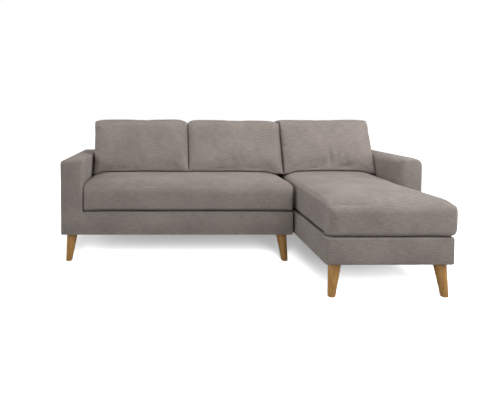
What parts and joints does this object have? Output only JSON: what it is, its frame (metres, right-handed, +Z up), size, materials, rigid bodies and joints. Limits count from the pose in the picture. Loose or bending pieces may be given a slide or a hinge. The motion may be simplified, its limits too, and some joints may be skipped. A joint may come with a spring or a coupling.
{
  "type": "sectional sofa with chaise",
  "caption": "L-shaped upholstered sectional: a two-seat section with one arm hooked to a chaise section with the other arm, loose seat and back cushions, splayed tapered wooden legs.",
  "frame": {"origin": "on the floor, under the middle of the whole sofa's outline", "axes": "+X towards the chaise side, +Y towards the back, +Z up; the front faces -Y"},
  "size_m": [2.2, 1.466, 0.862],
  "materials": {
    "upholstery": "warm grey slubbed linen-look weave, matt",
    "cushion_cloth": "warm grey slubbed linen-look weave over soft filling, matt",
    "leg_wood": "turned beech, honey stain, satin lacquer",
    "frame_timber": "planed softwood, bare",
    "elastic_webbing": "woven elastic strap, matt",
    "deck_cloth": "plain platform cloth over a thin pad, matt",
    "dust_felt": "black non-woven felt, matt",
    "zinc_steel": "zinc-plated pressed steel"
  },
  "bodies": {
    "sofa_section": {"sofa_front_rail": "frame_timber", "sofa_rear_rail": "frame_timber", "sofa_left_rail": "frame_timber", "sofa_right_rail": "frame_timber", "sofa_centre_rail": "frame_timber", "sofa_seat_webbing": "elastic_webbing", "sofa_seat_deck": "deck_cloth", "sofa_front_leg_board": "frame_timber", "sofa_rear_leg_board": "frame_timber", "sofa_front_border": "upholstery", "sofa_end_cloth": "upholstery", "left_arm_cover": "upholstery", "left_arm_top_rail": "frame_timber", "left_arm_board": "frame_timber", "sofa_back_cover": "upholstery", "sofa_back_top_rail": "frame_timber", "sofa_back_board": "frame_timber", "sofa_dust_cover": "dust_felt", "sofa_front_left_leg": "leg_wood", "sofa_front_left_leg_plate": "zinc_steel", "sofa_rear_left_leg": "leg_wood", "sofa_rear_left_leg_plate": "zinc_steel", "sofa_front_right_leg": "leg_wood", "sofa_front_right_leg_plate": "zinc_steel", "sofa_rear_right_leg": "leg_wood", "sofa_rear_right_leg_plate": "zinc_steel", "connector_pocket": "zinc_steel"},
    "chaise_section": {"chaise_front_rail": "frame_timber", "chaise_rear_rail": "frame_timber", "chaise_left_rail": "frame_timber", "chaise_right_rail": "frame_timber", "chaise_centre_rail": "frame_timber", "chaise_seat_webbing": "elastic_webbing", "chaise_seat_deck": "deck_cloth", "chaise_front_leg_board": "frame_timber", "chaise_rear_leg_board": "frame_timber", "chaise_front_border": "upholstery", "chaise_left_border": "upholstery", "chaise_right_border": "upholstery", "right_arm_cover": "upholstery", "right_arm_top_rail": "frame_timber", "right_arm_board": "frame_timber", "chaise_back_cover": "upholstery", "chaise_back_top_rail": "frame_timber", "chaise_back_board": "frame_timber", "chaise_dust_cover": "dust_felt", "chaise_front_left_leg": "leg_wood", "chaise_front_left_leg_plate": "zinc_steel", "chaise_front_right_leg": "leg_wood", "chaise_front_right_leg_plate": "zinc_steel", "chaise_rear_left_leg": "leg_wood", "chaise_rear_left_leg_plate": "zinc_steel", "chaise_rear_right_leg": "leg_wood", "chaise_rear_right_leg_plate": "zinc_steel", "connector_tongue": "zinc_steel"},
    "bench_cushion": {"bench_cushion": "cushion_cloth"},
    "left_back_cushion": {"left_back_cushion": "cushion_cloth"},
    "middle_back_cushion": {"middle_back_cushion": "cushion_cloth"},
    "chaise_cushion": {"chaise_cushion": "cushion_cloth"},
    "right_back_cushion": {"right_back_cushion": "cushion_cloth"}
  },
  "joints": [
    {"name": "bench_cushion_lift", "type": "slide", "parent": "sofa_section", "child": "bench_cushion", "axis": [0, 0, 1], "range_m": [0, 0.25]},
    {"name": "left_back_cushion_lift", "type": "slide", "parent": "bench_cushion", "child": "left_back_cushion", "axis": [0, 0, 1], "range_m": [0, 0.35]},
    {"name": "middle_back_cushion_lift", "type": "slide", "parent": "bench_cushion", "child": "middle_back_cushion", "axis": [0, 0, 1], "range_m": [0, 0.35]},
    {"name": "chaise_section_unhook", "type": "slide", "parent": "sofa_section", "child": "chaise_section", "axis": [0, 0, 1], "range_m": [0, 0.05]},
    {"name": "chaise_cushion_lift", "type": "slide", "parent": "chaise_section", "child": "chaise_cushion", "axis": [0, 0, 1], "range_m": [0, 0.25]},
    {"name": "right_back_cushion_lift", "type": "slide", "parent": "chaise_cushion", "child": "right_back_cushion", "axis": [0, 0, 1], "range_m": [0, 0.35]}
  ]
}
